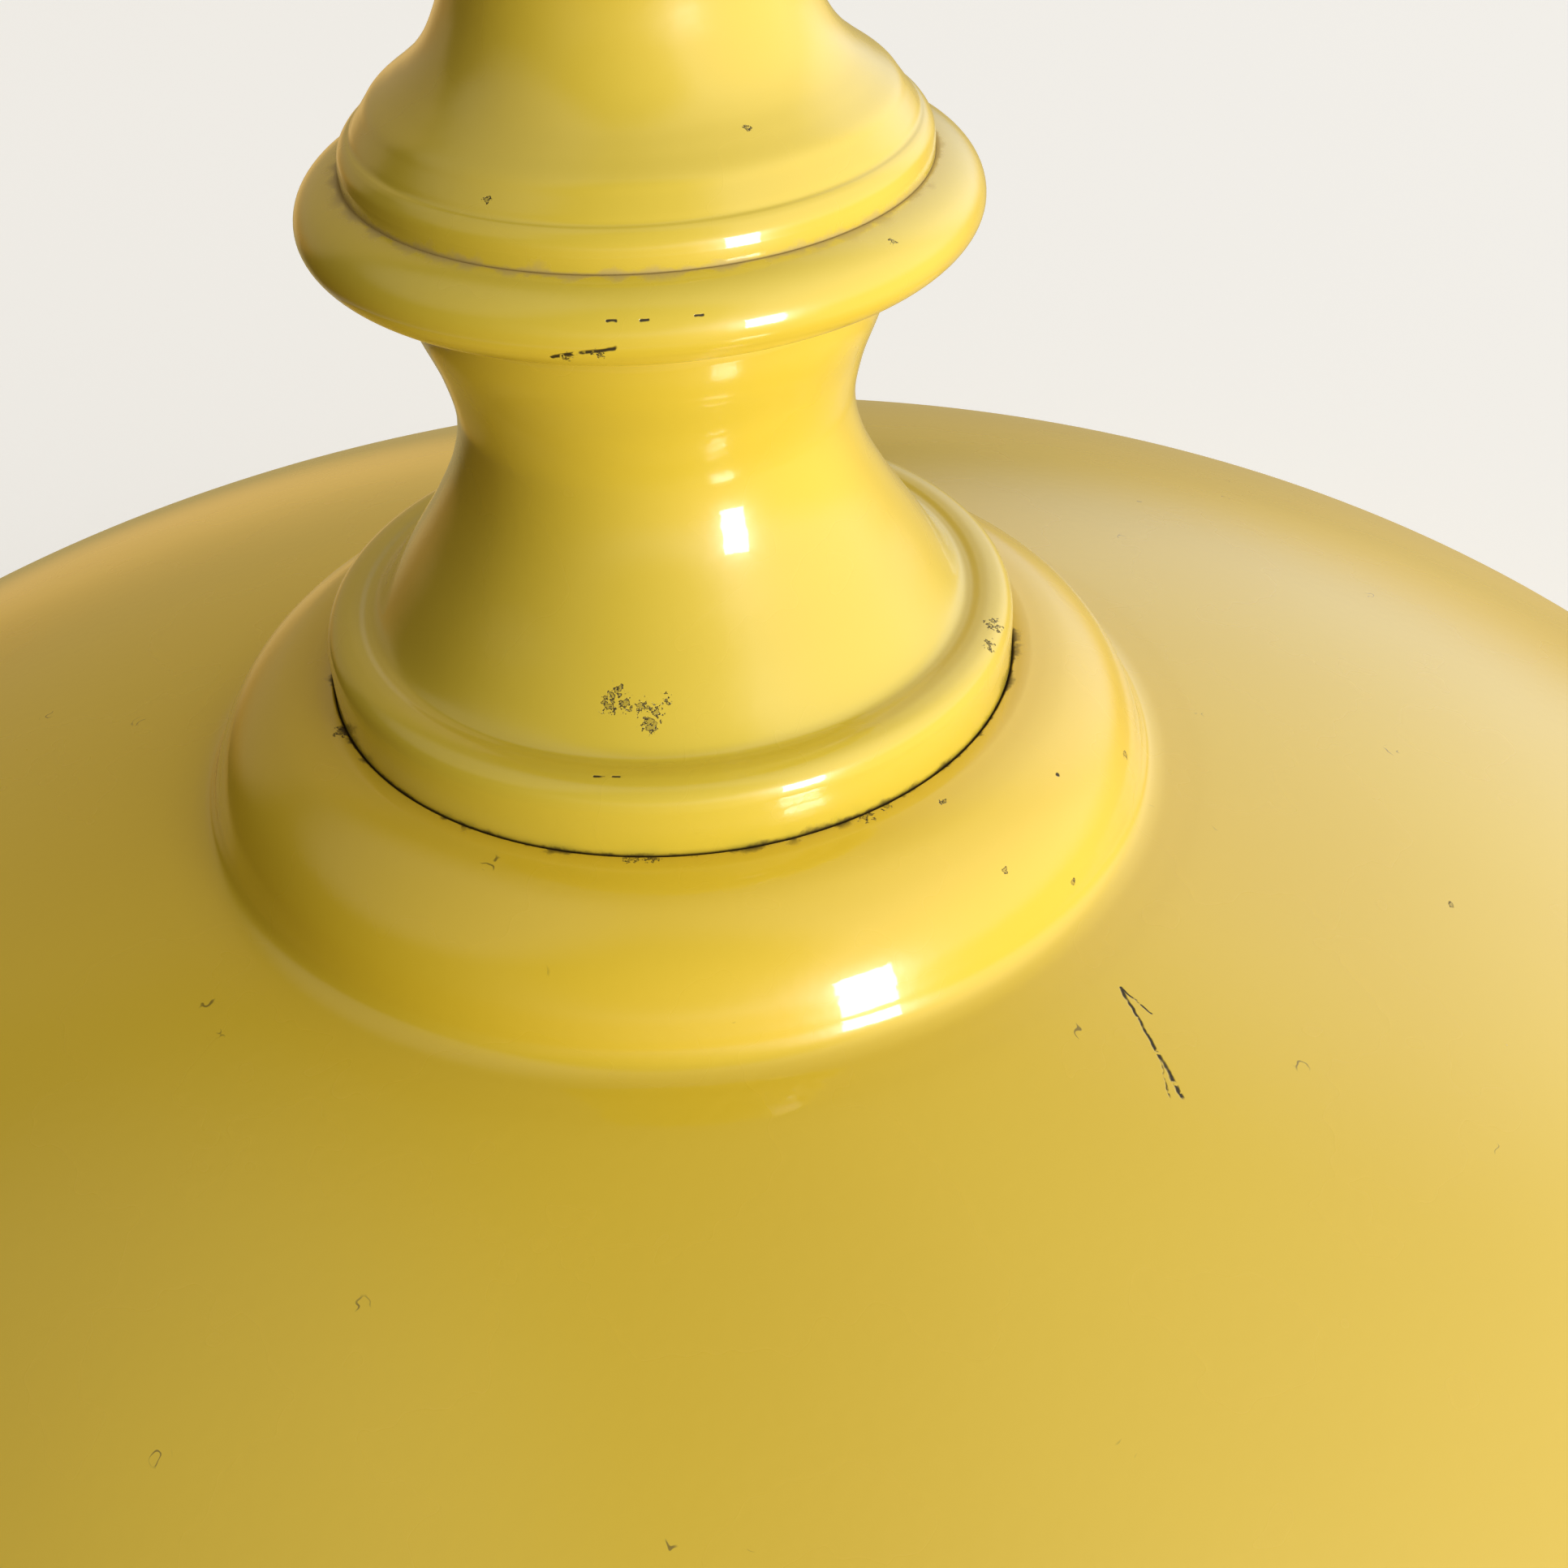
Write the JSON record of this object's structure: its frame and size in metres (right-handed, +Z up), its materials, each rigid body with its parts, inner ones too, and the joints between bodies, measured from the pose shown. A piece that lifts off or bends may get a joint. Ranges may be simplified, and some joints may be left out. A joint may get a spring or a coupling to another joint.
{
  "type": "pendant lamp",
  "caption": "Wide spun-metal dome pendant shade with a stepped collar and a turned baluster crown, holding a screw lampholder and an opal bulb.",
  "frame": {"origin": "centre of the shade's rim plane, which the lamp stands on", "axes": "+Z up the lamp's axis, from the rim towards the cord gland; +Y away from the viewer of the reference view, and round about Z only the terminals, the contact tongue and the gland's side screw differ"},
  "size_m": [0.45, 0.45, 0.2501],
  "materials": {
    "yellow_lacquer": "glossy yellow lacquer over spun sheet metal, chipped and dusty",
    "zinc_steel": "zinc-plated steel",
    "brass": "plain brass",
    "nickel": "nickel-plated brass",
    "nylon": "off-white nylon",
    "white_bakelite": "moulded off-white bakelite",
    "porcelain": "glazed porcelain",
    "opal_glass": "opal glass",
    "black_glass": "black glass insulator"
  },
  "bodies": {
    "lamp": {"shade": "yellow_lacquer", "crown_spool": "yellow_lacquer", "crown_ring": "yellow_lacquer", "crown_bell": "yellow_lacquer", "crown_cap": "yellow_lacquer", "cord_gland": "nylon", "pinch_screw": "zinc_steel", "stem": "zinc_steel", "stem_washer": "zinc_steel", "stem_nut": "zinc_steel", "lock_washer": "zinc_steel", "lock_nut": "zinc_steel", "holder_cap": "white_bakelite", "holder_skirt": "white_bakelite", "clamp_ring": "white_bakelite", "holder_insert": "porcelain", "terminal_live": "brass", "terminal_neutral": "brass", "terminal_screw_live": "brass", "terminal_screw_neutral": "brass", "contact_sleeve": "brass"},
    "bulb_tip": {"bulb_tip": "nickel"},
    "bulb": {"bulb_glass": "opal_glass", "bulb_cap": "nickel", "bulb_insulator": "black_glass"},
    "centre_contact": {"centre_contact": "brass"}
  },
  "joints": [
    {"name": "bulb_travel", "type": "slide", "parent": "lamp", "child": "bulb_tip", "axis": [0, 0, -1], "range_m": [0, 0.018]},
    {"name": "bulb_turn", "type": "hinge", "parent": "bulb_tip", "child": "bulb", "pos_m": [0, 0, 0.1], "axis": [0, 0, -1], "range_deg": [0, 1785]},
    {"name": "contact_flex", "type": "hinge", "parent": "lamp", "child": "centre_contact", "pos_m": [-0.0086, 0, 0.11313], "axis": [0, -1, 0], "range_deg": [0, 7], "stiffness_Nm_per_rad": 0.02}
  ],
  "couplings": [
    {"joint": "bulb_travel", "follows": "bulb_turn", "m_per_rad": 0.00057751}
  ]
}
